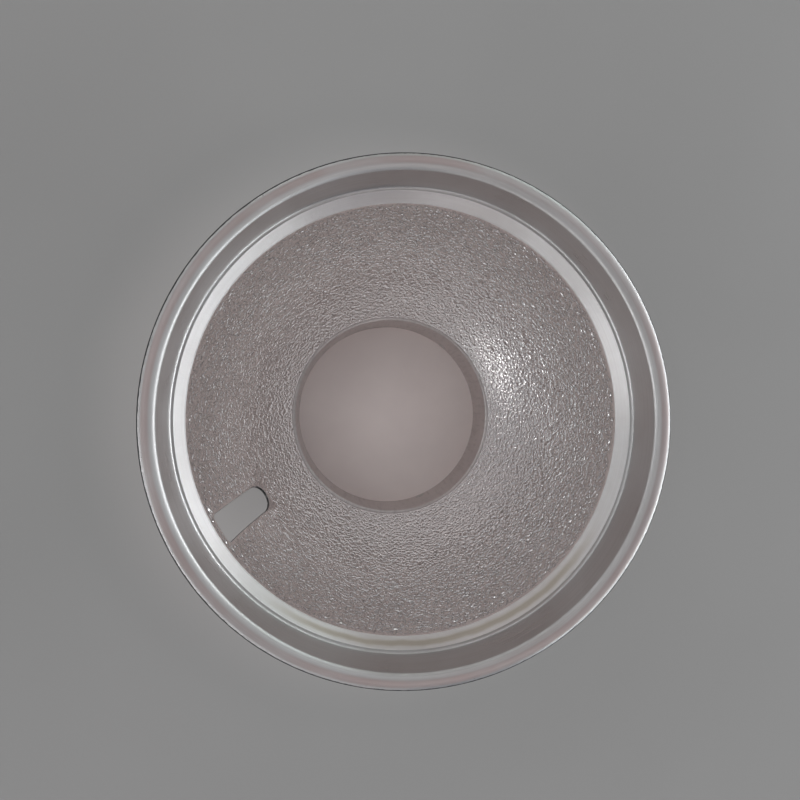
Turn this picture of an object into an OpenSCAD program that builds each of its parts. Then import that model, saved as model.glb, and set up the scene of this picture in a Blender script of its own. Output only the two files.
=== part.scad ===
// Standard reflector for a studio flash head: a spun bowl with a rolled rim and a grid seat at the front,
// and a three-lug bayonet neck at the back.
// The origin is on the axis at the rear end of the neck, and +Z runs out of the open front.
// The umbrella slot is on the -Y side.

/* [Front] */
// Inner diameter of the grid seat
grid_d = 170; // [168:0.5:172]
// Depth of the grid seat, from the lip to the ledge
grid_depth = 14.5; // [12:0.1:18]
// Half the width of the rolled bead
bead_r = 3; // [2.6:0.1:3.6]
// Half the height of the rolled bead, which is pressed flatter than round
bead_h = 1.8; // [1.7:0.1:2.6]
// How far the ledge steps in from the seat's wall
ledge_w = 1.4; // [1.2:0.1:2]
// Height of the smooth cone ring behind the ledge
cone_h = 6.6; // [5:0.2:8]
// How far the cone ring closes in over its height
cone_in = 2.1; // [1.6:0.1:2.6]

/* [Bowl] */
// Thickness of the bowl's sheet
sheet = 0.8; // [0.7:0.1:1]
// Depth of the embossed bowl, from the cone ring to the neck
bowl_h = 72; // [64:1:80]
// Slope of the bowl's wall where it meets the cone ring, as run over rise
slope_front = 0.12; // [0.08:0.01:0.16]
// How sharply the wall turns in towards the neck
wall_power = 2.5; // [2.2:0.05:2.8]

/* [Umbrella slot] */
// Width of the slot
slot_w = 12; // [10:0.1:13]
// Length of the slot along the axis
slot_h = 41.4; // [36:0.1:44]
// Distance from the cone ring to the slot's front end
slot_gap = 4.8; // [4:0.1:9]
// Radius of the corners at the slot's front end
slot_r = 2; // [1:0.1:4]

/* [Neck] */
// Inner diameter of the neck
neck_d = 96; // [95:0.1:96.4]
// Outer diameter of the neck, which the bayonet socket takes
spigot_d = 98.6; // [98.2:0.1:99]
// Length of the neck's sleeve
neck_h = 27; // [26:0.5:30]

/* [Mount flange] */
// Outer diameter of the flange
flange_d = 123; // [120:0.5:126]
// Thickness of the flange
flange_t = 2; // [1.6:0.1:2.4]
// Height of the flange's rear face above the end of the neck
flange_z = 12.3; // [12:0.1:13]
// Length of the hub that grips the bowl's collar
hub_h = 6; // [5:0.5:7]
// Wall of the hub
hub_t = 1.5; // [1.2:0.1:2]
// Diameter of the hole for the lock pin
lock_d = 5.2; // [4.6:0.1:5.6]
// Radius at which the lock pin's hole is drilled
lock_pr = 56.8; // [56:0.1:57.5]

/* [Bayonet lugs] */
// Diameter over the lugs
lugs_d = 109; // [108:0.5:110]
// Thickness of the lug's steel
lug_t = 2.5; // [2:0.1:2.8]
// Width of a lug round the neck, in degrees
lug_arc = 27; // [24:1:30]
// Height of the lug's locking face above the end of the neck
lug_face_z = 8.8; // [8.6:0.1:9]
// Height of the lug's rear end above the end of the neck
lug_foot_z = 0.8; // [0.6:0.1:1]
// Angle of the first lug round the axis, with the slot at 270
lug_a0 = 111; // [108:1:116]

/* [Rivets] */
// Diameter of a rivet's shank
rivet_d = 3.2; // [3:0.1:3.4]
// Diameter of the sunk head inside the neck
rivet_sunk_d = 4.8; // [4.4:0.1:5]
// How far the sunk head stands into the neck
rivet_proud = 0.15; // [0.1:0.01:0.18]
// Diameter of the domed head outside the lug
rivet_head_d = 4.6; // [4.4:0.1:4.8]
// Height of the domed head
rivet_head_h = 1.1; // [0.9:0.1:1.3]
// Height of the rivets above the end of the neck
rivet_z = 3.4; // [3.2:0.1:3.6]

/* [Hidden] */
$fn = 180;
small_fn = 48;  // facets of rivets, the lock hole and the slot's corners
lug_count = 3;

// Radii
neck_r = neck_d / 2;
spigot_r = spigot_d / 2;
collar_r = spigot_r + sheet;
hub_r = collar_r + hub_t;
flange_r = flange_d / 2;
leg_r = spigot_r + lug_t;
grid_r = grid_d / 2;
cone_top_r = grid_r - ledge_w;
bowl_r = cone_top_r - cone_in;

// Heights, from the rear to the front
flange_top_z = flange_z + flange_t;
cone_z = neck_h + bowl_h;
ledge_z = cone_z + cone_h;
lip_z = ledge_z + grid_depth;

// Points of an oval arc, between two angles
function oval(centre, half_w, half_h, from, to, steps) = [
    for (i = [0 : steps])
        let (angle = from + (to - from) * i / steps)
        centre + [half_w * cos(angle), half_h * sin(angle)]];

function unit(v) = v / norm(v);

// The corner between two neighbouring points, rounded to a radius
function rounded(before, corner, after, radius, steps = 4) =
    let (
        to_before = unit(before - corner),
        to_after = unit(after - corner),
        half_angle = acos(to_before * to_after) / 2,
        tangent = radius / tan(half_angle),
        centre = corner + unit(to_before + to_after) * (radius / sin(half_angle)),
        start = corner + to_before * tangent - centre,
        end = corner + to_after * tangent - centre,
        start_angle = atan2(start[1], start[0]),
        raw = atan2(end[1], end[0]) - start_angle,
        turn = raw > 180 ? raw - 360 : raw < -180 ? raw + 360 : raw)
    oval(centre, radius, radius, start_angle, start_angle + turn, steps);

// The inner corners of an open path, each rounded to its own radius
function rounded_path(path, radii) = [
    for (i = [0 : len(radii) - 1])
        for (point = rounded(path[i], path[i + 1], path[i + 2], radii[i])) point];

// The bowl's wall, as [radius, z], with u from 0 at the cone ring to 1 at the neck
wall_steps = 30;
// Share of the closing-in that follows the power law, so that the wall lands on the neck
curl_share = (bowl_r - spigot_r) / bowl_h - slope_front;
function wall_slope(u) = slope_front + curl_share * wall_power * pow(u, wall_power - 1);
function wall_in(u) = [
    bowl_r - bowl_h * (slope_front * u + curl_share * pow(u, wall_power)),
    cone_z - bowl_h * u];
function wall_out(u) = wall_in(u) + sheet * unit([1, -wall_slope(u)]);

// Where the cone ring's outside meets the underside of the ledge
cone_slope = cone_in / cone_h;
ledge_under = [
    cone_top_r + sheet * (norm([1, cone_slope]) - cone_slope),
    ledge_z - sheet];

// Where the wall's outside runs into the collar, on the line of its last step
end_out = wall_out(1);
last_step = wall_out(1 - 1 / wall_steps) - end_out;
collar_top_z = end_out[1] + (collar_r - end_out[0]) / last_step[0] * last_step[1];

module bowl_section() {
    seat_corner_r = 0.5;
    ledge_corner_r = 0.6;
    seat_outer_r = 1;       // rounding outside the seat's rear corner
    collar_margin = 0.05;   // wall points nearer the collar than this are left out
    bead_centre = [grid_r + bead_r, lip_z];
    bead_end = -120;        // the bead rolls outwards and back to this angle
    inside = concat(
        rounded_path(
            [[grid_r, lip_z], [grid_r, ledge_z], [cone_top_r, ledge_z], wall_in(0)],
            [seat_corner_r, ledge_corner_r]),
        [for (i = [0 : wall_steps]) wall_in(i / wall_steps)],
        [[spigot_r, flange_top_z]]);
    outside = concat(
        [[collar_r, flange_top_z], [collar_r, collar_top_z]],
        [for (i = [wall_steps : -1 : 0])
            let (point = wall_out(i / wall_steps))
            if (point[0] > collar_r + collar_margin) point],
        [ledge_under],
        rounded(ledge_under, [grid_r + sheet, ledge_under[1]], [grid_r + sheet, lip_z], seat_outer_r));
    bead = concat(
        oval(bead_centre, bead_r - sheet, bead_h - sheet, 180, bead_end, 26),
        oval(bead_centre, bead_r, bead_h, bead_end, 180, 40));
    polygon(concat(outside, bead, inside));
}

// Cutter for the slot: a round rear end and small corners at the front
module slot_cutter() {
    reach_in = 35;    // from the seat's wall in to the cutter's inner end
    cut_depth = 45;
    overlap = 1;
    half_w = slot_w / 2;
    front_z = cone_z - slot_gap;
    round_z = front_z - slot_h + half_w;
    corner_z = front_z - slot_r;
    translate([0, reach_in - grid_r, 0]) rotate([90, 0, 0]) linear_extrude(height = cut_depth) {
        translate([0, round_z]) circle(r = half_w, $fn = 96);
        translate([-half_w, round_z]) square([slot_w, corner_z - round_z]);
        translate([slot_r - half_w, corner_z - overlap])
            square([slot_w - 2 * slot_r, slot_r + overlap]);
        for (side = [-1, 1])
            translate([side * (half_w - slot_r), corner_z]) circle(r = slot_r, $fn = small_fn);
    }
}

module reflector_bowl() {
    color("gainsboro") difference() {
        rotate_extrude() bowl_section();
        slot_cutter();
    }
}

// Turns its children to the given lugs, or to all of them
module at_lugs(lugs = [0 : lug_count - 1]) {
    for (i = lugs) rotate([0, 0, lug_a0 + 360 / lug_count * i]) children();
}

// A rivet along +X, and the same shape as a hole
module rivet(hole = false) {
    over = hole ? 1 : 0;
    rim_depth = 0.1;    // straight part of the sunk head in the sleeve
    head_x = neck_r - rivet_proud - over;
    sunk_x = neck_r + rim_depth;
    translate([0, 0, rivet_z]) rotate([0, 90, 0]) {
        translate([0, 0, head_x])
            cylinder(h = sunk_x - head_x, d = rivet_sunk_d, $fn = small_fn);
        translate([0, 0, sunk_x])
            cylinder(h = (rivet_sunk_d - rivet_d) / 2, d1 = rivet_sunk_d, d2 = rivet_d, $fn = small_fn);
        translate([0, 0, sunk_x])
            cylinder(h = leg_r - sunk_x + over, d = rivet_d, $fn = small_fn);
        if (!hole) translate([0, 0, leg_r]) rivet_dome();
    }
}

// The rivet's outer head, a cap of a sphere
module rivet_dome() {
    steps = 10;
    head_r = rivet_head_d / 2;
    sphere_r = (pow(head_r, 2) + pow(rivet_head_h, 2)) / (2 * rivet_head_h);
    rotate_extrude($fn = small_fn) polygon(concat(
        [[0, 0]],
        [for (i = [0 : steps])
            let (r = head_r * (1 - i / steps))
            [r, sqrt(sphere_r * sphere_r - r * r) - sphere_r + rivet_head_h]]));
}

module neck_sleeve() {
    rear = 0.3;         // chamfers at the rear end
    front = 0.15;       // chamfer at the front end
    front_in = 0.5;     // reach of the two-step easing inside the front end
    color("rosybrown") difference() {
        rotate_extrude() polygon([
            [neck_r, rear], [neck_r + rear, 0],
            [spigot_r - rear, 0], [spigot_r, rear],
            [spigot_r, neck_h - front], [spigot_r - front, neck_h],
            [neck_r + front_in, neck_h], [neck_r + front, neck_h - front],
            [neck_r, neck_h - front_in]]);
        at_lugs() rivet(hole = true);
    }
}

// A flat ring with a hub in front, and the lock pin's hole opposite the slot
module mount_flange() {
    edge_r = 0.5;
    hub_fillet = 0.8;
    chamfer = 0.4;
    over = 1;
    hub_top_z = flange_top_z + hub_h;
    color([0.08, 0.08, 0.09]) difference() {
        rotate_extrude() polygon(concat(
            [[spigot_r, flange_top_z], [spigot_r, flange_z]],
            rounded_path(
                [[spigot_r, flange_z], [flange_r, flange_z], [flange_r, flange_top_z],
                 [hub_r, flange_top_z], [hub_r, hub_top_z]],
                [edge_r, edge_r, hub_fillet]),
            [[hub_r, hub_top_z - chamfer], [hub_r - chamfer, hub_top_z],
             [collar_r, hub_top_z], [collar_r, flange_top_z]]));
        translate([0, lock_pr, flange_z - over])
            cylinder(h = flange_t + 2 * over, d = lock_d, $fn = small_fn);
    }
}

// An angle of bent steel: the leg lies on the sleeve and the tab stands out from it
module bayonet_lug(i) {
    edge_r = 0.4;
    bend_in_r = 0.5;
    bend_out_r = 1.8;
    chamfer = 0.3;
    tab_z = lug_face_z - lug_t;
    tip_r = lugs_d / 2;
    foot = [spigot_r, lug_foot_z];
    bend = [spigot_r, lug_face_z];
    tip = [tip_r, lug_face_z];
    color("lightsteelblue") difference() {
        at_lugs([i]) rotate([0, 0, -lug_arc / 2]) rotate_extrude(angle = lug_arc) polygon(concat(
            [foot + [0, chamfer], foot + [chamfer, 0]],
            rounded_path(
                [foot, [leg_r, lug_foot_z], [leg_r, tab_z], [tip_r, tab_z], tip, bend],
                [edge_r, bend_in_r, edge_r, edge_r]),
            rounded(tip, bend, foot, bend_out_r, 6)));
        at_lugs([i]) rivet(hole = true);
    }
}

module lug_rivets() {
    color("silver") at_lugs() rivet();
}

reflector_bowl();
neck_sleeve();
mount_flange();
bayonet_lug(0);  // bayonet_lug_1
bayonet_lug(1);  // bayonet_lug_2
bayonet_lug(2);  // bayonet_lug_3
lug_rivets();
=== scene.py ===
"""Looks of a studio flash reflector: embossed aluminium bowl, rolled rim, bayonet neck, on a pale floor.

The axis is Z: the neck is at the bottom, the bowl opens upwards, and its slot is on the -Y side.
"""

import math
from collections import namedtuple

import bpy
import numpy as np
from mathutils import Matrix, Vector
from mathutils.kdtree import KDTree


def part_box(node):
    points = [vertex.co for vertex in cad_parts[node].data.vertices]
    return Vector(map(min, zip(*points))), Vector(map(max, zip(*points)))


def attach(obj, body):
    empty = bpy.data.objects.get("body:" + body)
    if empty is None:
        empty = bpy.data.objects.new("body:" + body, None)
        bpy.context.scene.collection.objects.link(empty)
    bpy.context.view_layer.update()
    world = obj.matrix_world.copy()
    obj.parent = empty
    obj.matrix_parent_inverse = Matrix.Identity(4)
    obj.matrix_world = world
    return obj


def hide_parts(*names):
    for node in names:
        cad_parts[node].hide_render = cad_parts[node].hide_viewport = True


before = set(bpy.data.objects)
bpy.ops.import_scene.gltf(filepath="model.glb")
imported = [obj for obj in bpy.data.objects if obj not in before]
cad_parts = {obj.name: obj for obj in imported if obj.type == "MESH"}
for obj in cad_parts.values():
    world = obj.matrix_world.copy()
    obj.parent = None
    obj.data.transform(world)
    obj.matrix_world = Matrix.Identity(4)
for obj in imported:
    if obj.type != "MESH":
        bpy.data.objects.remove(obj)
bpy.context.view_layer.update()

scene = bpy.context.scene

# ---------------------------------------------------------------- sizes, in mm
MM = 0.001
bowl_low, bowl_high = [corner * 1000 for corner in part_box("reflector_bowl")]
sleeve_low, sleeve_high = [corner * 1000 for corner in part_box("neck_sleeve")]

SHEET = 0.8
# The rim is a bead of flattened section, outside the seat's upright wall
BEAD_HALF_WIDTH = 3.0
BEAD_HALF_HEIGHT = 1.8
SEAT_R = (bowl_high.x - bowl_low.x) / 2 - 2 * BEAD_HALF_WIDTH
BEAD_R = SEAT_R + BEAD_HALF_WIDTH
BEAD_Z = bowl_high.z - BEAD_HALF_HEIGHT
PAINT_START = 15  # angle round the bead, in degrees, where bare metal gives way to paint
# A flat ledge below the seat's wall, then a plain conical ring down to the embossed wall
LEDGE_Z = BEAD_Z - 14.5
CONE_RISE = 6.6
CONE_RUN = 2.1
CONE_TOP_R = SEAT_R - 1.4
WALL_TOP_Z = LEDGE_Z - CONE_RISE
WALL_TOP_R = CONE_TOP_R - CONE_RUN
# The neck
NECK_Z = sleeve_high.z
NECK_R = (sleeve_high.x - sleeve_low.x) / 2
COLLAR_Z = bowl_low.z
COLLAR_IN = NECK_R + 0.02
COLLAR_OUT = NECK_R + SHEET
# The curved wall: its slope at the top, and the power by which it closes towards the neck
WALL_H = WALL_TOP_Z - NECK_Z
SLOPE = 0.12
POWER = 2.5
CURL = (WALL_TOP_R - NECK_R) / WALL_H - SLOPE
# The slot runs up the wall: round at the bottom, square with rounded corners at the top
SLOT_HALF = 6.0
SLOT_TOP = WALL_TOP_Z - 4.8
SLOT_BOTTOM = SLOT_TOP - 41.4
SLOT_CORNER = 2.0
SLOT_ARC_Z = SLOT_BOTTOM + SLOT_HALF
SLOT_CORNER_Z = SLOT_TOP - SLOT_CORNER
SLOT_CORNER_X = SLOT_HALF - SLOT_CORNER
SLOT_PERIMETER = 2 * (
    SLOT_HALF * math.pi / 2
    + (SLOT_TOP - SLOT_CORNER - SLOT_BOTTOM - SLOT_HALF)
    + SLOT_CORNER * math.pi / 2
    + SLOT_HALF
    - SLOT_CORNER
)
SLOT_BEVEL = 0.16
# The window left for the slot in the bowl's grid
WINDOW_ANGLE = 9.0  # degrees to either side of -Y
WINDOW_BELOW = 4.2
WINDOW_ABOVE_IN = 2.6
WINDOW_ABOVE_OUT = 2.8
# Columns round the bowl
FINE, MEDIUM, COARSE = 1920, 960, 480
WALL_STEP = 0.28
WALL_MARGIN = 0.9  # length of wall left free at the top for the step into the ring

# Material zones, in the order of the bowl's material slots
ZONES = ("emboss", "seat", "paint", "collar", "edge", "bead", "ring")


def ramp01(start, end, x):
    t = np.clip((np.asarray(x, float) - start) / (end - start), 0, 1)
    return t * t * (3 - 2 * t)


# ---------------------------------------------------------------- the bowl's section
# u runs along the wall's height, from 0 at the top to 1 at the neck.
def wall_r(u):
    return WALL_TOP_R - WALL_H * (SLOPE * u + CURL * u**POWER)


def wall_slope(u):
    return SLOPE + CURL * POWER * u ** (POWER - 1)


def wall_out(u):
    """(R, z) of the wall's outer side."""
    slope = wall_slope(u)
    n = np.sqrt(1 + slope * slope)
    return wall_r(u) + SHEET / n, WALL_TOP_Z - WALL_H * u - SHEET * slope / n


def oval(grow, start, end, steps):
    """Points of the bead's section, grown by grow, from one angle to another in degrees."""
    return [
        (
            BEAD_R + (BEAD_HALF_WIDTH + grow) * math.cos(t),
            BEAD_Z + (BEAD_HALF_HEIGHT + grow) * math.sin(t),
        )
        for t in np.radians(np.linspace(start, end, steps + 1))
    ]


def fillet(before, corner, after, radius):
    """Points of the arc that rounds a corner."""
    a, b = before - corner, after - corner
    a, b = a / np.linalg.norm(a), b / np.linalg.norm(b)
    half = math.acos(max(-1, min(1, float(a @ b)))) / 2
    reach = radius / math.tan(half)
    centre = corner + (a + b) / np.linalg.norm(a + b) * (radius / math.sin(half))
    start = math.atan2(*(corner + a * reach - centre)[::-1])
    end = math.atan2(*(corner + b * reach - centre)[::-1])
    turn = (end - start + math.pi) % (2 * math.pi) - math.pi
    n = max(3, int(abs(turn) / math.radians(13)) + 1)
    angles = [start + turn * k / n for k in range(n + 1)]
    return [centre + radius * np.array([math.cos(t), math.sin(t)]) for t in angles]


def path(corners, step):
    """A line through corners (R, z, fillet radius), with straight runs cut into steps."""
    points = [np.array(c[:2], float) for c in corners]
    runs = [[p] for p in points]
    for i in range(1, len(corners) - 1):
        if corners[i][2]:
            runs[i] = fillet(points[i - 1], points[i], points[i + 1], corners[i][2])
    out = list(runs[0])
    for run, following in zip(runs, runs[1:]):
        last, target = run[-1], following[0]
        n = max(1, int(round(np.linalg.norm(target - last) / step)))
        out += [last + (target - last) * k / n for k in range(1, n)]
        out += following
    return [(float(p[0]), float(p[1])) for p in out]


# Length along the wall's inner side, from the neck up, against u
wall_us = np.linspace(1, 0, 4001)
steps_r, steps_z = np.diff(wall_r(wall_us)), np.diff(WALL_TOP_Z - WALL_H * wall_us)
wall_run = np.concatenate([[0], np.cumsum(np.hypot(steps_r, steps_z))])
WALL_LEN = float(wall_run[-1])

# ---------------------------------------------------------------- rows: rings of columns about Z
Row = namedtuple("Row", "r z count zone")

# Heights and column counts of the collar's inner side
COLLAR_STATIONS = ((COLLAR_Z, COARSE), (20.0, COARSE), (25.2, COARSE), (26.0, MEDIUM), (26.6, FINE))
# Where the sheet ends inside the bead: angle round the bead, and growth from its outside
BEAD_END = (
    (-118.2, -0.03), (-119.6, -0.12), (-120, -0.25),
    (-120, -0.55), (-119.6, -0.68), (-118.2, -0.77),
)


def wall_rows():
    length = WALL_LEN - WALL_MARGIN
    stations = np.linspace(0, length, int(round(length / WALL_STEP)) + 1)
    return [
        Row(max(float(wall_r(u)), COLLAR_IN), float(WALL_TOP_Z - WALL_H * u), FINE, "emboss")
        for u in np.interp(stations, wall_run, wall_us)
    ]


def seat_rows(below):
    """A small step, the conical ring, the ledge and the upright wall."""
    points = path(
        [
            (below.r, below.z, 0),
            (WALL_TOP_R - 0.04, WALL_TOP_Z - 0.28, 0.16),
            (WALL_TOP_R + 0.32, WALL_TOP_Z - 0.12, 0.14),
            (CONE_TOP_R, LEDGE_Z, 0.5),
            (SEAT_R, LEDGE_Z, 0.9),
            (SEAT_R, BEAD_Z, 0),
        ],
        step=0.7,
    )[1:-1]
    return [
        Row(r, z, FINE if i == 0 else MEDIUM, "ring" if z < LEDGE_Z - 0.1 else "seat")
        for i, (r, z) in enumerate(points)
    ]


def bead_rows():
    """Over the bead and under it, round the sheet's end, and back along its hollow side."""
    rows = [Row(*p, MEDIUM, "bead") for p in oval(0, 180, PAINT_START, 56)]
    painted = oval(0, PAINT_START, -116, 26)[1:]
    rows.append(Row(*painted[0], MEDIUM, "paint"))
    points = painted[1:]
    points += [oval(grow, angle, angle, 1)[0] for angle, grow in BEAD_END]
    points += oval(-SHEET, -115, 180, 26)
    return rows + [Row(*p, COARSE, "paint") for p in points]


def flank_rows():
    """The outer side from the bead down to the top of the curved wall."""
    lean = CONE_RUN / CONE_RISE
    points = path(
        [
            (SEAT_R + SHEET, BEAD_Z, 0),
            (SEAT_R + SHEET, LEDGE_Z - SHEET, 1.0),
            (CONE_TOP_R + SHEET * math.sqrt(1 + lean**2) - lean * SHEET, LEDGE_Z - SHEET, 0.35),
            (*wall_out(0.0), 0.8),
            (*wall_out(0.02), 0),
        ],
        step=1.2,
    )[1:-1]
    return [Row(*p, COARSE, "paint") for p in points]


def outer_wall_rows():
    points = [wall_out(u) for u in np.linspace(0.025, 1, 66)]
    return [Row(float(r), float(z), COARSE, "paint") for r, z in points if r > COLLAR_OUT + 0.6]


def outer_collar_rows(above):
    corners = [(above.r, above.z, 0), (COLLAR_OUT, above.z - 0.9, 0.6), (COLLAR_OUT, COLLAR_Z, 0)]
    return [Row(*p, COARSE, "paint") for p in path(corners, step=1.5)[1:]]


rows = [Row(COLLAR_IN, z, count, "collar") for z, count in COLLAR_STATIONS]
first_wall = len(rows)
wall = wall_rows()
rows += wall + seat_rows(wall[-1]) + bead_rows() + flank_rows()
first_out = len(rows)
outer_wall = outer_wall_rows()
rows += outer_wall + outer_collar_rows(outer_wall[-1])


# ---------------------------------------------------------------- the bowl's skin
class Skin:
    """Points and faces, gathered in arrays."""

    def __init__(self):
        self.points = np.empty((0, 3))
        self.faces = []
        self.slots = []

    def add_points(self, points):
        start = len(self.points)
        self.points = np.concatenate([self.points, points])
        return start + np.arange(len(points))

    def add_faces(self, faces, zone):
        self.faces.append(faces)
        self.slots += [ZONES.index(zone)] * len(faces)


def row_points(row):
    angle = -math.pi / 2 + 2 * math.pi * np.arange(row.count) / row.count
    return np.stack([row.r * np.cos(angle), row.r * np.sin(angle), np.full(row.count, row.z)], 1)


skin = Skin()
all_ids = skin.add_points(np.concatenate([row_points(row) for row in rows]))
row_ids = np.split(all_ids, np.cumsum([row.count for row in rows])[:-1])

# First and last rows of the windows; rows climb on the inside and descend on the outside
wall_zs = np.array([row.z for row in wall])
outer_falls = -np.array([row.z for row in outer_wall])
in_low = first_wall + int(np.searchsorted(wall_zs, SLOT_BOTTOM - WINDOW_BELOW))
in_high = first_wall + int(np.searchsorted(wall_zs, SLOT_TOP + WINDOW_ABOVE_IN))
out_high = first_out + int(np.searchsorted(outer_falls, -(SLOT_TOP + WINDOW_ABOVE_OUT))) - 1
out_low = first_out + int(np.searchsorted(outer_falls, -(SLOT_BOTTOM - WINDOW_BELOW)))


def window_half(count):
    return int(round(count * WINDOW_ANGLE / 360))


def join_rows(i):
    """Faces from a row to the next, the last closing on the first; counts may halve or double."""
    following = (i + 1) % len(rows)
    a, b = row_ids[i], row_ids[following]
    if following == 0:
        zone = "collar"
    else:
        zone = rows[following if rows[i].zone == "collar" else i].zone
    n = min(len(a), len(b))
    j = np.arange(n)
    if len(a) == len(b):
        if in_low <= i < in_high or out_high <= i < out_low:
            j = np.arange(window_half(n), n - window_half(n))
        corners = [a[j], b[j], b[(j + 1) % n], a[(j + 1) % n]]
    elif len(a) > len(b):
        corners = [a[2 * j], b[j], b[(j + 1) % n], a[(2 * j + 2) % (2 * n)], a[2 * j + 1]]
    else:
        corners = [a[j], b[2 * j], b[2 * j + 1], b[(2 * j + 2) % (2 * n)], a[(j + 1) % n]]
    skin.add_faces(np.stack(corners, 1), zone)


for i in range(len(rows)):
    join_rows(i)


# ---------------------------------------------------------------- the slot
def near_outline(x, z):
    """Closest point of the slot's outline to (x, z), its outward normal, and its run.

    The run is counted from the middle of the bottom, negative on the -X side.
    """
    if z < SLOT_ARC_Z:
        a = math.atan2(x, SLOT_ARC_Z - z)
        nx, nz = math.sin(a), -math.cos(a)
        return SLOT_HALF * nx, SLOT_ARC_Z + SLOT_HALF * nz, nx, nz, SLOT_HALF * a
    side = 1 if x >= 0 else -1
    arc_run = SLOT_HALF * math.pi / 2
    if z <= SLOT_CORNER_Z and abs(x) > SLOT_CORNER_X:
        return side * SLOT_HALF, z, side, 0.0, side * (arc_run + z - SLOT_ARC_Z)
    side_run = arc_run + SLOT_CORNER_Z - SLOT_ARC_Z
    if abs(x) <= SLOT_CORNER_X:
        run = side_run + SLOT_CORNER * math.pi / 2 + SLOT_CORNER_X - abs(x)
        return x, SLOT_TOP, 0.0, 1.0, side * run
    a = math.atan2(z - SLOT_CORNER_Z, abs(x) - SLOT_CORNER_X)
    return (
        side * (SLOT_CORNER_X + SLOT_CORNER * math.cos(a)),
        SLOT_CORNER_Z + SLOT_CORNER * math.sin(a),
        side * math.cos(a),
        math.sin(a),
        side * (side_run + SLOT_CORNER * a),
    )


def window_loop(low, high, count):
    """The window's border: along the low row, up, back along the high row, and down."""
    half = window_half(count)
    columns = [c % count for c in range(-half, half + 1)]
    step = 1 if high > low else -1
    loop = [row_ids[low][c] for c in columns]
    loop += [row_ids[r][half % count] for r in range(low + step, high, step)]
    loop += [row_ids[high][c] for c in reversed(columns)]
    loop += [row_ids[r][-half % count] for r in range(high - step, low, -step)]
    return np.array(loop)


def slot_patch(loop, section, ring_count, side, zone):
    """Rings from the window's border to the slot's edge and over its bevel.

    section is the wall's (z, R), side is +1 for the bowl's inside and -1 for its outside.
    Returns the rings and the last ring's run along the outline.
    """
    border_x, border_z = skin.points[loop, 0], skin.points[loop, 2]
    outline = np.array([near_outline(x, z) for x, z in zip(border_x, border_z)])
    edge_x, edge_z, normal_x, normal_z, run = outline.T
    rings = [loop]

    def place(offset, depth, blend=0.0):
        x = edge_x + normal_x * offset
        z = edge_z + normal_z * offset
        x, z = x + (border_x - x) * blend, z + (border_z - z) * blend
        r = np.interp(z, *section)
        y = -np.sqrt(r * r - x * x) - side * depth
        rings.append(skin.add_points(np.stack([x, y, z], 1)))

    for k in range(ring_count - 1, -1, -1):
        place(SLOT_BEVEL, 0.0, k / ring_count)
    place(SLOT_BEVEL * 0.29, SLOT_BEVEL * 0.29)
    place(0.0, SLOT_BEVEL)
    place(0.0, SLOT_BEVEL + 0.1)

    a, b, c = (skin.points[ids] for ids in (loop, np.roll(loop, -1), rings[1]))
    flip = not np.cross(b - a, c - a).sum(0)[1] * side > 0
    for k, (a, b) in enumerate(zip(rings, rings[1:])):
        quads = np.stack([a, np.roll(a, -1), np.roll(b, -1), b], 1)
        skin.add_faces(quads[:, ::-1] if flip else quads, zone if k < ring_count else "edge")
    return rings, run


def join_slot_edges(ring_a, run_a, ring_b, run_b):
    """The cut wall of the slot: triangles between two rings, in step along the outline."""

    def in_order(ring, run):
        run = np.mod(run, SLOT_PERIMETER)
        order = np.argsort(run, kind="stable")
        run = run[order]
        # the run goes on to the closing point, then to a value that is never reached
        return ring[order], np.concatenate([run, [run[0] + SLOT_PERIMETER, 1e9]])

    ring_a, run_a = in_order(ring_a, run_a)
    ring_b, run_b = in_order(ring_b, run_b)
    count_a, count_b = len(ring_a), len(ring_b)
    triangles, i, j = [], 0, 0
    while i < count_a or j < count_b:
        a, b = ring_a[i % count_a], ring_b[j % count_b]
        if run_a[i + 1] <= run_b[j + 1]:
            triangles.append((a, b, ring_a[(i + 1) % count_a]))
            i += 1
        else:
            triangles.append((a, b, ring_b[(j + 1) % count_b]))
            j += 1
    triangles = np.array(triangles)
    corners = skin.points[triangles]
    normals = np.cross(corners[:, 1] - corners[:, 0], corners[:, 2] - corners[:, 0])
    if (normals[:, 0] * corners[:, 0, 0]).sum() > 0:
        triangles = triangles[:, ::-1]
    skin.add_faces(triangles, "edge")


in_section = (wall_zs, np.array([row.r for row in wall]))
out_section = wall_out(np.linspace(1, 0, 2001))[::-1]
in_loop = window_loop(in_low, in_high, FINE)
out_loop = window_loop(out_low, out_high, COARSE)
in_rings, in_run = slot_patch(in_loop, in_section, 16, +1, "emboss")
out_rings, out_run = slot_patch(out_loop, out_section, 5, -1, "paint")
join_slot_edges(in_rings[-1], in_run, out_rings[-1], out_run)

# ---------------------------------------------------------------- embossing: cells parted by grooves
CELL_PITCH = 1.56
BAND_PITCH = CELL_PITCH * 0.9
CELL_JITTER = 0.42  # in pitches
CELL_DROPPED = 0.16  # share of cells left out, so that others grow
rng = np.random.RandomState(11)


def cell_seeds():
    """Centres of the cells: jittered bands round the wall, staggered by half a pitch."""
    seeds = []
    for band in range(-1, int(WALL_LEN / BAND_PITCH) + 3):
        run = band * CELL_PITCH * 0.9
        around = 2 * math.pi * float(wall_r(float(np.interp(run, wall_run, wall_us))))
        n = int(round(around / CELL_PITCH))
        place = np.arange(n) + 0.5 * (band % 2) + rng.uniform(-CELL_JITTER, CELL_JITTER, n)
        angle = 2 * math.pi * place / n
        runs = run + rng.uniform(-CELL_JITTER, CELL_JITTER, n) * CELL_PITCH
        u = np.interp(runs, wall_run, wall_us)
        keep = rng.uniform(size=n) > CELL_DROPPED
        r, z = wall_r(u), WALL_TOP_Z - WALL_H * u
        seeds.append(np.stack([r * np.cos(angle), r * np.sin(angle), z], 1)[keep])
    return np.concatenate(seeds)


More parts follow.
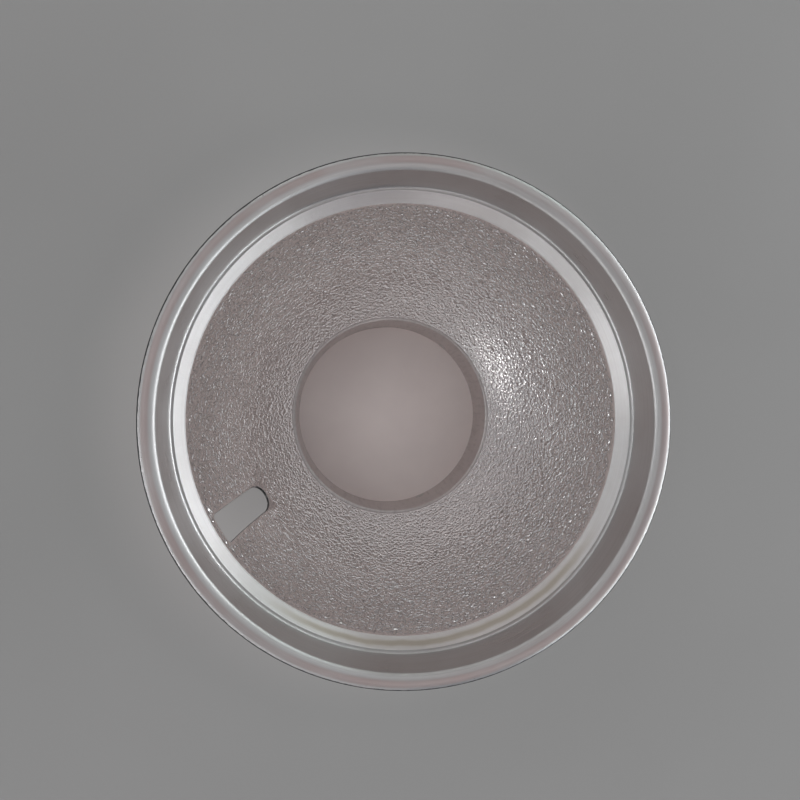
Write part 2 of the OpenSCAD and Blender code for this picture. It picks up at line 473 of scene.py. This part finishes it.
seeds = cell_seeds()
tree = KDTree(len(seeds))
for k, seed in enumerate(seeds):
    tree.insert(seed, k)
tree.balance()
cell_tilt = rng.normal(scale=0.032, size=(len(seeds), 3))
cell_lift = rng.normal(scale=0.007, size=len(seeds))


def waves(points, length, seed, count=14):
    """A smooth random field of about -1.5 to 1.5, from plane waves of about one length."""
    draw = np.random.RandomState(seed)
    out = np.zeros(len(points))
    for _ in range(count):
        way = draw.normal(size=3)
        way /= np.linalg.norm(way)
        turns = 2 * math.pi / (length * draw.uniform(0.7, 1.5))
        out += np.sin(turns * (points @ way) + draw.uniform(0, 2 * math.pi))
    return out / math.sqrt(count / 2)


def drift(points, length, seeds_xyz):
    return np.stack([waves(points, length, seed) for seed in seeds_xyz], 1)


def relief(points):
    """Height of the embossing, in mm, at points of the smooth wall."""
    shift = drift(points, 2.9, (21, 22, 23)) * 0.30
    shift += drift(points, 1.2, (31, 32, 33)) * 0.07
    warped = points + shift
    distance = np.empty((len(points), 2))
    cells = np.empty((len(points), 2), int)
    for k in range(len(warped)):
        nearest = tree.find_n(warped[k], 3)
        distance[k] = nearest[0][2], nearest[1][2]
        cells[k] = nearest[0][1], nearest[1][1]
    own = cells[:, 0]
    gap = (distance[:, 1] - distance[:, 0]) / 2
    # a number from 0 to 1 for each pair of neighbours gives their groove its depth and width
    a, b = cells.min(1), cells.max(1)
    pick = np.mod(np.sin(a * 12.9898 + b * 78.233) * 43758.5453, 1.0)
    depth = 0.055 + 0.065 * pick
    width = 0.24 + 0.09 * np.mod(pick * 7.3, 1.0)
    groove = 1 - ramp01(0.0, 1.0, gap / width)
    dome = -0.02 * (distance[:, 0] / 0.8) ** 2
    lean = np.einsum("ij,ij->i", warped - seeds[own], cell_tilt[own])
    return dome + (lean + cell_lift[own]) * ramp01(0.0, 0.4, gap) - depth * groove


def emboss(ids, plain_ids):
    """Move points along the wall's inward normal by the relief, leaving plain_ids in place."""
    points = skin.points[ids]
    x, y, z = points.T
    r = np.hypot(x, y)
    u = np.clip((WALL_TOP_Z - z) / WALL_H, 0, 1)
    slope = wall_slope(u)
    n = np.sqrt(1 + slope * slope)
    normal = np.stack([-x / r / n, -y / r / n, slope / n], 1)
    run = np.interp(u, wall_us[::-1], wall_run[::-1])
    fade = ramp01(0.2, 3.2, WALL_LEN - run) * (0.35 + 0.65 * ramp01(0.0, 0.8, run))
    # deeper towards the top, shallower beside the slot
    fade = fade * (0.92 + 1.7 * ramp01(0.25, 0.75, run / WALL_LEN))
    beyond = np.maximum(np.maximum(z - SLOT_TOP, SLOT_BOTTOM - z), 0)
    from_slot = np.hypot(np.maximum(np.abs(x) - SLOT_HALF, 0), beyond)
    fade = fade * np.where(y < 0, 0.2 + 0.8 * ramp01(0.2, 1.8, from_slot), 1.0)
    height = relief(points) * fade
    height[np.isin(ids, plain_ids)] = 0
    skin.points[ids] = points + normal * height[:, None]


emboss(
    np.concatenate(row_ids[first_wall + 1 : first_wall + len(wall)] + in_rings[1:]),
    np.concatenate(in_rings[-2:]),
)


# ---------------------------------------------------------------- mesh
def build_bowl():
    used = np.unique(np.concatenate([f.ravel() for f in skin.faces]))  # drops the windows' points
    renumber = np.full(len(skin.points), -1)
    renumber[used] = np.arange(len(used))
    faces = []
    for group in skin.faces:
        faces += renumber[group].tolist()
    mesh = bpy.data.meshes.new("reflector_bowl_skin")
    mesh.from_pydata((skin.points[used] * MM).tolist(), [], faces)
    mesh.polygons.foreach_set("material_index", np.array(skin.slots, np.int32))
    mesh.polygons.foreach_set("use_smooth", np.ones(len(mesh.polygons), bool))
    mesh.update()
    obj = bpy.data.objects.new("bowl_embossed_shell", mesh)
    scene.collection.objects.link(obj)
    return obj


bowl = build_bowl()


# ---------------------------------------------------------------- node helpers
class Graph:
    def __init__(self, tree):
        self.tree = tree
        tree.nodes.clear()

    def put(self, socket, value):
        if isinstance(value, bpy.types.NodeSocket):
            self.tree.links.new(value, socket)
        else:
            socket.default_value = value

    def node(self, kind, inputs=None, **props):
        """A new node's outputs, after setting its properties and filling its inputs."""
        node = self.tree.nodes.new(kind)
        for key, value in props.items():
            setattr(node, key, value)
        for key, value in (inputs or {}).items():
            self.put(node.inputs[key], value)
        return node.outputs

    def span(self, value, over, to=(0.0, 1.0)):
        """Carry value smoothly from the range over to the range to."""
        inputs = {"Value": value, "From Min": over[0], "From Max": over[1]}
        inputs.update({"To Min": to[0], "To Max": to[1]})
        return self.node("ShaderNodeMapRange", inputs, interpolation_type="SMOOTHSTEP")[0]


class Material(Graph):
    """A Principled material; lengths are in metres, in object coordinates."""

    def __init__(self, name):
        self.material = bpy.data.materials.new(name)
        self.material.use_nodes = True
        super().__init__(self.material.node_tree)
        output = self.tree.nodes.new("ShaderNodeOutputMaterial")
        self.shader = self.tree.nodes.new("ShaderNodeBsdfPrincipled")
        self.tree.links.new(self.shader.outputs[0], output.inputs[0])
        self.position = self.node("ShaderNodeTexCoord")["Object"]

    def surface(self, **inputs):
        """Fill the shader's inputs, named with underscores, and return the material."""
        for key, value in inputs.items():
            self.put(self.shader.inputs[key.replace("_", " ")], value)
        return self.material

    def brush(self, amount):
        """Stretch highlights as rings of fine lines about Z do."""
        tangent = self.node("ShaderNodeTangent", direction_type="RADIAL", axis="Z")[0]
        self.surface(Anisotropic=amount, Anisotropic_Rotation=0.25, Tangent=tangent)

    def calc(self, op, a, b=0.0, clamp=False):
        inputs = {0: a, 1: b, 2: 0.0}
        return self.node("ShaderNodeMath", inputs, operation=op, use_clamp=clamp)[0]

    def plus(self, a, b):
        return self.calc("ADD", a, b)

    def minus(self, a, b):
        return self.calc("SUBTRACT", a, b)

    def times(self, a, b):
        return self.calc("MULTIPLY", a, b)

    def noise(self, scale, detail=4.0, rough=0.55, vector=None):
        inputs = {"Vector": vector or self.position, "Scale": scale}
        inputs.update({"Detail": detail, "Roughness": rough})
        return self.node("ShaderNodeTexNoise", inputs)["Fac"]

    def mix(self, amount, first, second):
        inputs = {0: amount}
        for key, colour in ((6, first), (7, second)):
            inputs[key] = (*colour, 1.0) if isinstance(colour, tuple) else colour
        return self.node("ShaderNodeMix", inputs, data_type="RGBA")[2]

    def bump(self, height, distance, normal=None):
        inputs = {"Height": height, "Distance": distance, "Strength": 1.0}
        if normal is not None:
            inputs["Normal"] = normal
        return self.node("ShaderNodeBump", inputs)[0]

    def split(self):
        return self.node("ShaderNodeSeparateXYZ", {0: self.position})

    def radius(self, x, y):
        return self.calc("SQRT", self.plus(self.times(x, x), self.times(y, y)))

    def ring_noise(self, lines, around=1.4, detail=3.0, rough=0.6):
        """Noise drawn out in rings: lines is its scale across them, around its scale along."""
        x, y, z = self.split()
        r = self.radius(x, y)
        way_x, way_y = self.calc("DIVIDE", x, r), self.calc("DIVIDE", y, r)
        inputs = {
            0: self.plus(self.times(r, lines), self.times(way_x, around)),
            1: self.times(z, lines),
            2: self.times(way_y, around),
        }
        vector = self.node("ShaderNodeCombineXYZ", inputs)[0]
        return self.noise(scale=1.0, detail=detail, rough=rough, vector=vector)


def scaled(colour, factor):
    return tuple(c * factor for c in colour)


# ---------------------------------------------------------------- materials
def embossed_aluminium():
    m = Material("embossed_aluminium")
    z = m.split()[2]
    patch = m.noise(scale=22.0, detail=3.0)
    fine = m.noise(scale=2600.0, detail=3.0, rough=0.6)
    light, dark = (0.865, 0.85, 0.848), (0.825, 0.808, 0.805)
    colour = m.mix(m.span(patch, over=(0.35, 0.65)), dark, light)
    # painted warm light: the bowl gets pinker and slightly darker towards the neck
    neck_warm_light = m.span(z, over=(0.030, 0.062), to=(0.45, 0.0))
    colour = m.mix(neck_warm_light, colour, (0.84, 0.79, 0.783))
    rough = m.plus(
        m.span(m.noise(scale=300.0), over=(0.3, 0.7), to=(0.18, 0.23)),
        m.span(fine, over=(0.35, 0.65), to=(-0.015, 0.02)),
    )
    normal = m.bump(m.noise(scale=900.0, detail=3.0, rough=0.6), distance=4e-6)
    normal = m.bump(fine, distance=2e-6, normal=normal)
    return m.surface(Base_Color=colour, Metallic=1.0, Roughness=rough, Normal=normal)


def bead_painted_reflection(m, tone, angle, strength):
    """A painted reflection of the table: a brownish band along the top of the bead."""
    band = m.times(
        m.span(angle, over=(0.95, 1.25), to=(0.0, strength)),
        m.span(angle, over=(1.75, 2.1), to=(1.0, 0.0)),
    )
    patches = m.span(m.noise(scale=28.0), over=(0.3, 0.6), to=(0.35, 1.0))
    return m.mix(m.times(band, patches), tone, (0.50, 0.40, 0.39))


def ring_stain(m, tone, way_x, way_y, z, strength):
    """A tan streak on the +X, slightly -Y side of the conical ring."""
    middle = math.radians(340)
    facing = m.plus(m.times(way_x, math.cos(middle)), m.times(way_y, math.sin(middle)))
    wander = m.times(m.minus(m.noise(scale=60.0, detail=3.0), 0.5), 0.003)
    ring_mid = (WALL_TOP_Z + LEDGE_Z) / 2 * MM
    off = m.calc("ABSOLUTE", m.minus(m.plus(z, wander), ring_mid))
    streak = m.times(
        m.span(facing, over=(0.60, 0.86), to=(0.0, strength)),
        m.span(off, over=(0.0004, 0.0024), to=(1.0, 0.15)),
    )
    return m.mix(streak, tone, (0.52, 0.45, 0.35))


def cross_marks(m, way_x, way_y, z, depth, normal):
    """Short marks that run across the rings."""
    around, upwards = 95.0, 330.0  # noise scales
    inputs = {0: m.times(way_x, around), 1: m.times(way_y, around), 2: m.times(z, upwards)}
    vector = m.node("ShaderNodeCombineXYZ", inputs)[0]
    marks = m.noise(scale=1.0, rough=0.65, vector=vector)
    return m.bump(marks, distance=depth, normal=normal)


def spun_aluminium(name, rough, grain, painted_brightness, marks=0.0, table_reflection=0.0, stain=0.0):
    """Bright metal with rings of fine lines, and black paint lapping over the bead's outside.

    rough is the range of roughness, grain how much wider it scatters across the lines than
    along, painted_brightness a factor on its colours that paints each part lighter or darker
    for how it is lit, marks the depth of the cross marks, table_reflection the strength of the
    painted reflection of the table on the bead, and stain a strength.
    """
    m = Material(name)
    x, y, z = m.split()
    r = m.radius(x, y)
    lines = m.ring_noise(lines=3200.0)
    coarse = m.ring_noise(lines=900.0, around=2.2, detail=2.0, rough=0.5)
    patch = m.noise(scale=40.0, detail=3.0)

    # angle round the bead's section, from its outermost point up
    rise = m.minus(z, BEAD_Z * MM)
    outward = m.minus(r, BEAD_R * MM)
    angle = m.calc("ARCTAN2", m.times(rise, BEAD_HALF_WIDTH / BEAD_HALF_HEIGHT), outward)

    def outer_only(value):
        return m.times(value, m.calc("GREATER_THAN", outward, 0.0))

    edge = math.radians(42)
    lap = m.plus(angle, m.times(m.minus(m.noise(scale=420.0, detail=3.0), 0.5), 0.28))
    paint = outer_only(m.span(lap, over=(edge - 0.05, edge + 0.05), to=(1.0, 0.0)))
    chips = m.span(m.noise(scale=700.0, detail=2.0, rough=0.5), over=(0.70, 0.74))
    near_paint = outer_only(m.span(angle, over=(edge + 0.55, edge + 0.1)))
    specks = m.times(m.times(chips, near_paint), 0.6)

    # the colours are scaled to paint this part lighter or darker for how it is lit
    dark, light = scaled((0.80, 0.782, 0.778), painted_brightness), scaled((0.86, 0.845, 0.845), painted_brightness)
    tone = m.mix(m.span(patch, over=(0.35, 0.65)), dark, light)
    line_strength = m.span(lines, over=(0.38, 0.66), to=(0.0, 0.35))
    tone = m.mix(line_strength, tone, scaled((0.70, 0.67, 0.665), painted_brightness))
    if stain or marks:
        way_x, way_y = m.calc("DIVIDE", x, r), m.calc("DIVIDE", y, r)
    # painted reflection of the table, as a brownish band along the top of the bead
    if table_reflection:
        tone = bead_painted_reflection(m, tone, angle, table_reflection)
    if stain:
        tone = ring_stain(m, tone, way_x, way_y, z, stain)
    colour = m.mix(m.calc("MAXIMUM", paint, specks), tone, (0.012, 0.012, 0.013))
    metal = m.calc("SUBTRACT", 1.0, m.calc("MAXIMUM", paint, specks), clamp=True)

    roughness = m.plus(
        m.span(lines, over=(0.3, 0.7), to=rough),
        m.span(patch, over=(0.3, 0.7), to=(-0.02, 0.04)),
    )
    paint_rough = 0.42
    roughness = m.calc("MAXIMUM", roughness, m.times(paint, paint_rough))

    normal = m.bump(coarse, distance=2e-5)
    normal = m.bump(lines, distance=6e-6, normal=normal)
    normal = m.bump(paint, distance=3e-5, normal=normal)
    if marks:
        normal = cross_marks(m, way_x, way_y, z, marks, normal)
    m.brush(grain)
    return m.surface(Base_Color=colour, Metallic=metal, Roughness=roughness, Normal=normal)


def black_paint():
    m = Material("satin_black_paint")
    patch = m.noise(scale=30.0)
    orange_peel = m.noise(scale=1300.0, detail=2.0, rough=0.5)
    rub = m.span(m.noise(scale=55.0, detail=5.0, rough=0.65), over=(0.62, 0.72))
    dark, light = (0.010, 0.010, 0.011), (0.020, 0.020, 0.021)
    colour = m.mix(m.span(patch, over=(0.3, 0.7)), dark, light)
    colour = m.mix(m.times(rub, 0.5), colour, (0.035, 0.034, 0.034))
    rough = m.plus(m.span(patch, over=(0.3, 0.7), to=(0.34, 0.44)), m.times(rub, 0.12))
    normal = m.bump(orange_peel, distance=2e-5)
    return m.surface(Base_Color=colour, Roughness=rough, Normal=normal, Specular_IOR_Level=0.5)


def cut_edge():
    m = Material("painted_cut_edge")
    wear = m.span(m.noise(scale=600.0, rough=0.6), over=(0.52, 0.62))
    return m.surface(
        Base_Color=m.mix(wear, (0.018, 0.017, 0.017), (0.42, 0.40, 0.39)),
        Metallic=wear,
        Roughness=m.span(wear, over=(0, 1), to=(0.45, 0.32)),
        Normal=m.bump(m.noise(scale=1500.0), distance=2e-5),
    )


def turned_aluminium():
    m = Material("turned_aluminium")
    lines = m.ring_noise(lines=2600.0)
    patch = m.noise(scale=60.0, detail=3.0)
    streak = m.ring_noise(lines=70.0, around=26.0, detail=2.0)
    dark, light = (0.63, 0.59, 0.583), (0.69, 0.645, 0.637)
    colour = m.mix(m.span(patch, over=(0.3, 0.7)), dark, light)
    streak_strength = m.span(streak, over=(0.5, 0.7), to=(0.0, 0.4))
    colour = m.mix(streak_strength, colour, scaled(dark, 0.82))
    rough = m.plus(
        m.span(lines, over=(0.3, 0.7), to=(0.34, 0.44)),
        m.span(streak, over=(0.4, 0.7), to=(0.0, 0.05)),
    )
    m.brush(0.6)
    normal = m.bump(lines, distance=6e-6)
    return m.surface(Base_Color=colour, Metallic=1.0, Roughness=rough, Normal=normal)


def plated_steel(name, dark, light, rough):
    m = Material(name)
    patch = m.noise(scale=180.0, rough=0.6)
    scratch = m.ring_noise(lines=1800.0, around=3.0)
    scuff = m.span(m.noise(scale=420.0, rough=0.7), over=(0.58, 0.7))
    colour = m.mix(m.span(patch, over=(0.3, 0.7)), dark, light)
    colour = m.mix(m.times(scuff, 0.5), colour, scaled(light, 1.35))
    roughness = m.plus(m.span(patch, over=(0.3, 0.7), to=rough), m.times(scuff, -0.06))
    normal = m.bump(patch, distance=2e-5, normal=m.bump(scratch, distance=8e-6))
    return m.surface(Base_Color=colour, Metallic=1.0, Roughness=roughness, Normal=normal)


def pale_table_with_painted_light():
    """Grey table with painted light: a warm painted pool of light under the neck, and a paler painted
    lift round the bowl.
    """
    m = Material("pale_table_with_painted_light")
    cloud = m.noise(scale=3.0, detail=3.0)
    grain = m.noise(scale=900.0, detail=3.0)
    table = m.mix(m.span(cloud, over=(0.3, 0.7)), (0.37, 0.361, 0.356), (0.395, 0.386, 0.381))
    # painted pool of warm light under the neck, where the bowl gathers light onto the floor
    neck_light_mottle = m.span(m.noise(scale=24.0, detail=3.0), over=(0.3, 0.7))
    painted_neck_light = m.mix(neck_light_mottle, (0.92, 0.81, 0.785), (0.97, 0.86, 0.83))
    x, y, _ = m.split()
    r = m.radius(x, y)
    # paler ring round the bowl: painted light lifting the bowl's shadow on the floor
    table = m.mix(m.span(r, over=(0.11, 0.17)), (0.56, 0.535, 0.525), table)
    return m.surface(
        Base_Color=m.mix(m.span(r, over=(0.050, 0.066)), painted_neck_light, table),
        Roughness=m.span(grain, over=(0.3, 0.7), to=(0.55, 0.7)),
        Normal=m.bump(grain, distance=2e-5),
    )


emboss_metal, black, edge_metal = embossed_aluminium(), black_paint(), cut_edge()
# The seat, bead and ring are one spun sheet: their colour factors paint each part darker or lighter for
# how it is lit.
seat_metal = spun_aluminium("spun_seat", rough=(0.28, 0.38), grain=0.7, painted_brightness=0.68)
bead_metal = spun_aluminium("spun_bead", rough=(0.40, 0.48), grain=0.4, painted_brightness=0.70, table_reflection=0.75)
ring_metal = spun_aluminium(
    "turned_ring", rough=(0.42, 0.50), grain=0.96, painted_brightness=1.12, marks=5e-5, stain=0.7
)
sleeve_metal = turned_aluminium()
lug_steel = plated_steel(
    "plated_steel", dark=(0.44, 0.44, 0.45), light=(0.56, 0.56, 0.57), rough=(0.26, 0.38)
)
rivet_steel = plated_steel(
    "rivet_steel", dark=(0.52, 0.51, 0.50), light=(0.62, 0.61, 0.60), rough=(0.30, 0.42)
)

# in the order of ZONES
for material in (
    emboss_metal, seat_metal, black, sleeve_metal, edge_metal, bead_metal, ring_metal,
):
    bowl.data.materials.append(material)

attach(bowl, "root")
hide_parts("reflector_bowl")

for name, material, slot in (
    ("neck_sleeve", sleeve_metal, "sleeve_aluminium"),
    ("mount_flange", black, "black_paint"),
    ("bayonet_lug_1", lug_steel, "lug_steel"),
    ("bayonet_lug_2", lug_steel, "lug_steel"),
    ("bayonet_lug_3", lug_steel, "lug_steel"),
    ("lug_rivets", rivet_steel, "rivet_steel"),
):
    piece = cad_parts[name]
    piece.data.materials.clear()
    piece.data.materials.append(material)

# ---------------------------------------------------------------- floor
bpy.ops.mesh.primitive_circle_add(
    vertices=128, radius=8.0, fill_type="NGON", location=(0, 0, -0.0002)
)
floor = bpy.context.object
floor.name = "floor"
floor.data.materials.append(pale_table_with_painted_light())

# ---------------------------------------------------------------- camera, looking down into the bowl
# A point on the axis, and where the camera has it: right, down and ahead, in mm
AIM = np.array([0, 0, WALL_TOP_Z + 22.0])
AIM_SEEN = np.array([5.7, 7.0, 188.8])
# The axis leans from the line of sight by yaw and pitch; the camera's right is turned from +X
YAW, PITCH, TURN = 6.0, 0.4, 59.55


def camera_matrix():
    down_axis = np.array([-math.sin(math.radians(YAW)), math.sin(math.radians(PITCH)), 0.0])
    down_axis[2] = math.sqrt(1 - down_axis @ down_axis)
    z_seen = -down_axis
    across = np.array([1.0, 0, 0]) - z_seen * z_seen[0]
    across /= np.linalg.norm(across)
    upward = np.cross(z_seen, across)
    cos, sin = math.cos(math.radians(TURN)), math.sin(math.radians(TURN))
    # rows are the world's X, Y and Z as the camera sees them
    axes = np.stack([cos * across - sin * upward, sin * across + cos * upward, z_seen])
    turn = np.stack([axes[:, 0], -axes[:, 1], -axes[:, 2]], 1)
    place = Matrix.Translation(Vector((AIM - axes @ AIM_SEEN) * MM))
    return place @ Matrix(turn.tolist()).to_4x4()


camera_data = bpy.data.cameras.new("camera")
camera_data.lens = 25.2
camera_data.sensor_width = 36
camera_data.clip_start = 0.01
camera = bpy.data.objects.new("camera", camera_data)
scene.collection.objects.link(camera)
scene.camera = camera
camera.matrix_world = camera_matrix()

# ---------------------------------------------------------------- light
# The room is made of bands of soft patches, side by side from FIRST_AZIMUTH anticlockwise as seen
# from above, counted from the camera's right. Each band is: sine of elevation from, to, half
# width of a patch in degrees (180 goes all the way round), and the patches' strengths.
FIRST_AZIMUTH = -10
ROOM = (
    (0.12, 0.24, 15, (
        (11.72, 12.44, 12.65), (12.00, 12.60, 12.84), (4.55, 5.32, 5.11), (1.68, 1.70, 1.56),
        (3.03, 3.06, 3.01), (2.66, 2.71, 2.68), (2.51, 2.56, 2.54), (8.41, 8.48, 8.57),
        (5.39, 5.48, 5.55), (2.50, 2.39, 2.41), (0.35, 0.35, 0.49), (8.28, 8.89, 9.00),
    )),
    (0.45, 0.6, 180, ((0.92, 0.96, 0.99),)),
    (0.24, 0.42, 30, ((0.32, 0.23, 0.23), (0.18, 0.13, 0.13))),
    (0.8, 0.9, 30, (
        (0.40, 0.44, 0.49), (1.46, 1.56, 1.59), (1.07, 0.94, 0.92),
        (1.72, 1.82, 1.85), (0.62, 0.62, 0.64), (1.77, 1.69, 1.68),
    )),
    (0.92, 1.1, 180, ((0.37, 0.35, 0.35),)),
)
SOFT_SINE = 0.012  # softness of a band's lower and upper edges
SOFT_SIDE = math.radians(5.0)  # softness of a patch's sides
BACKDROP = (0.34, 0.336, 0.333, 1.0)


def light_room(world):
    g = Graph(world.node_tree)

    def calc(op, a, b=0.0):
        return g.node("ShaderNodeMath", {0: a, 1: b}, operation=op)[0]

    def rise(value, at, soft):
        return g.span(value, over=(at - soft, at + soft))

    direction = g.node("ShaderNodeTexCoord")["Generated"]
    x, y, z = g.node("ShaderNodeSeparateXYZ", {0: direction})
    flat = calc("SQRT", calc("MAXIMUM", calc("SUBTRACT", 1.0, calc("MULTIPLY", z, z)), 1e-6))

    def patch(low, high, half, azimuth):
        inside = calc("SUBTRACT", rise(z, low, SOFT_SINE), rise(z, high, SOFT_SINE))
        if half == 180:
            return inside
        a = math.radians(azimuth + TURN)
        facing = calc("ADD", calc("MULTIPLY", x, math.cos(a)), calc("MULTIPLY", y, math.sin(a)))
        facing = calc("MINIMUM", calc("MAXIMUM", calc("DIVIDE", facing, flat), -1.0), 1.0)
        beyond = rise(calc("ARCCOSINE", facing), math.radians(half), SOFT_SIDE)
        return calc("MULTIPLY", inside, calc("SUBTRACT", 1.0, beyond))

    total = (0.0, 0.0, 0.0)
    for low, high, half, strengths in ROOM:
        for i, strength in enumerate(strengths):
            amount = patch(low, high, half, FIRST_AZIMUTH + 2 * half * i)
            inputs = {0: strength, "Scale": amount}
            lit = g.node("ShaderNodeVectorMath", inputs, operation="SCALE")[0]
            total = g.node("ShaderNodeVectorMath", {0: lit, 1: total}, operation="ADD")[0]
    room = g.node("ShaderNodeBackground", {0: total, 1: 1.0})[0]
    # seen directly, past the floor's edge, the room is a plain pale backdrop
    backdrop = g.node("ShaderNodeBackground", {0: BACKDROP, 1: 1.0})[0]
    seen = g.node("ShaderNodeLightPath")["Is Camera Ray"]
    mixed = g.node("ShaderNodeMixShader", {0: seen, 1: room, 2: backdrop})[0]
    g.node("ShaderNodeOutputWorld", {0: mixed})


world = bpy.data.worlds.new("room")
scene.world = world
world.use_nodes = True
light_room(world)

scene.view_settings.view_transform = "Standard"
scene.view_settings.look = "None"
scene.view_settings.exposure = 0.0
scene.cycles.max_bounces = 24
scene.cycles.glossy_bounces = 16
scene.cycles.diffuse_bounces = 6
scene.cycles.use_denoising = True
